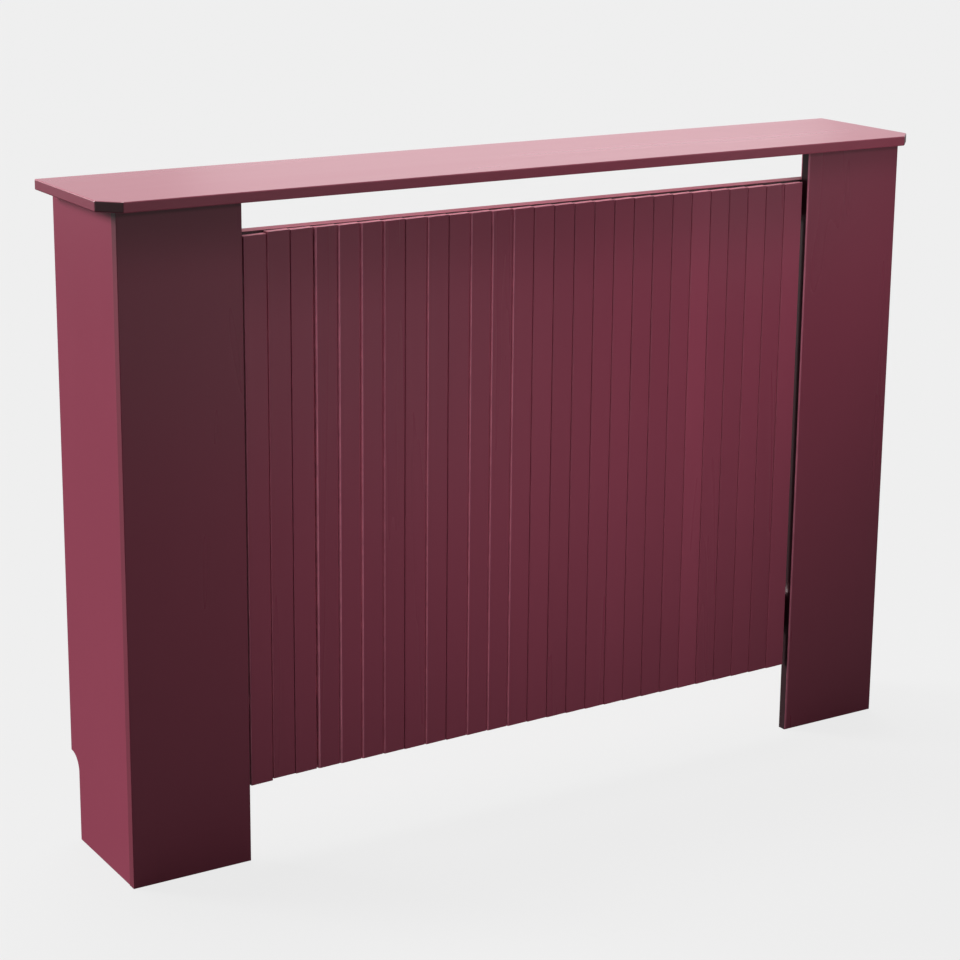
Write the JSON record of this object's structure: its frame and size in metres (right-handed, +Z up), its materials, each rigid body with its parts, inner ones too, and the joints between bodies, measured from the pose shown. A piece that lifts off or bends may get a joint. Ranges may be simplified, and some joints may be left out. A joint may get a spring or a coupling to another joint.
{
  "type": "radiator cover cabinet",
  "caption": "Painted radiator cover: a shelf with clipped corners on box pillars, with upright slats on rails between them and an open warm-air slot above.",
  "frame": {"origin": "middle of the footprint, on the floor", "axes": "+X to the right seen from the room, -Y towards the room, +Y towards the wall, +Z up"},
  "size_m": [1.115, 0.19, 0.78],
  "materials": {
    "satin_painted_mdf": "satin plum-red paint on MDF",
    "planed_pine": "bare planed pine",
    "zinc_plated_steel": "zinc plated",
    "zinc_plated_screws": "zinc plated",
    "bright_steel_pins": "bright drawn wire",
    "beech": "bare beech"
  },
  "bodies": {
    "root": {"top_shelf": "satin_painted_mdf", "left_side_panel": "satin_painted_mdf", "right_side_panel": "satin_painted_mdf", "left_front_board": "satin_painted_mdf", "right_front_board": "satin_painted_mdf", "top_rail": "satin_painted_mdf", "bottom_rail": "satin_painted_mdf", "slat_01": "satin_painted_mdf", "slat_02": "satin_painted_mdf", "slat_03": "satin_painted_mdf", "slat_04": "satin_painted_mdf", "slat_05": "satin_painted_mdf", "slat_06": "satin_painted_mdf", "slat_07": "satin_painted_mdf", "slat_08": "satin_painted_mdf", "slat_09": "satin_painted_mdf", "slat_10": "satin_painted_mdf", "slat_11": "satin_painted_mdf", "slat_12": "satin_painted_mdf", "slat_13": "satin_painted_mdf", "slat_14": "satin_painted_mdf", "slat_15": "satin_painted_mdf", "slat_16": "satin_painted_mdf", "slat_17": "satin_painted_mdf", "slat_18": "satin_painted_mdf", "slat_19": "satin_painted_mdf", "slat_20": "satin_painted_mdf", "slat_21": "satin_painted_mdf", "slat_22": "satin_painted_mdf", "slat_23": "satin_painted_mdf", "slat_24": "satin_painted_mdf", "slat_25": "satin_painted_mdf", "slat_26": "satin_painted_mdf", "slat_27": "satin_painted_mdf", "left_corner_batten": "planed_pine", "right_corner_batten": "planed_pine", "left_wall_bracket": "zinc_plated_steel", "right_wall_bracket": "zinc_plated_steel", "left_panel_bracket": "zinc_plated_steel", "right_panel_bracket": "zinc_plated_steel", "left_board_bracket": "zinc_plated_steel", "right_board_bracket": "zinc_plated_steel", "rail_screws": "zinc_plated_screws", "batten_screws": "zinc_plated_screws", "shelf_bracket_screws": "zinc_plated_screws", "wall_bracket_screws": "zinc_plated_screws", "top_rail_pins": "bright_steel_pins", "bottom_rail_pins": "bright_steel_pins", "shelf_dowels": "beech"}
  },
  "joints": []
}
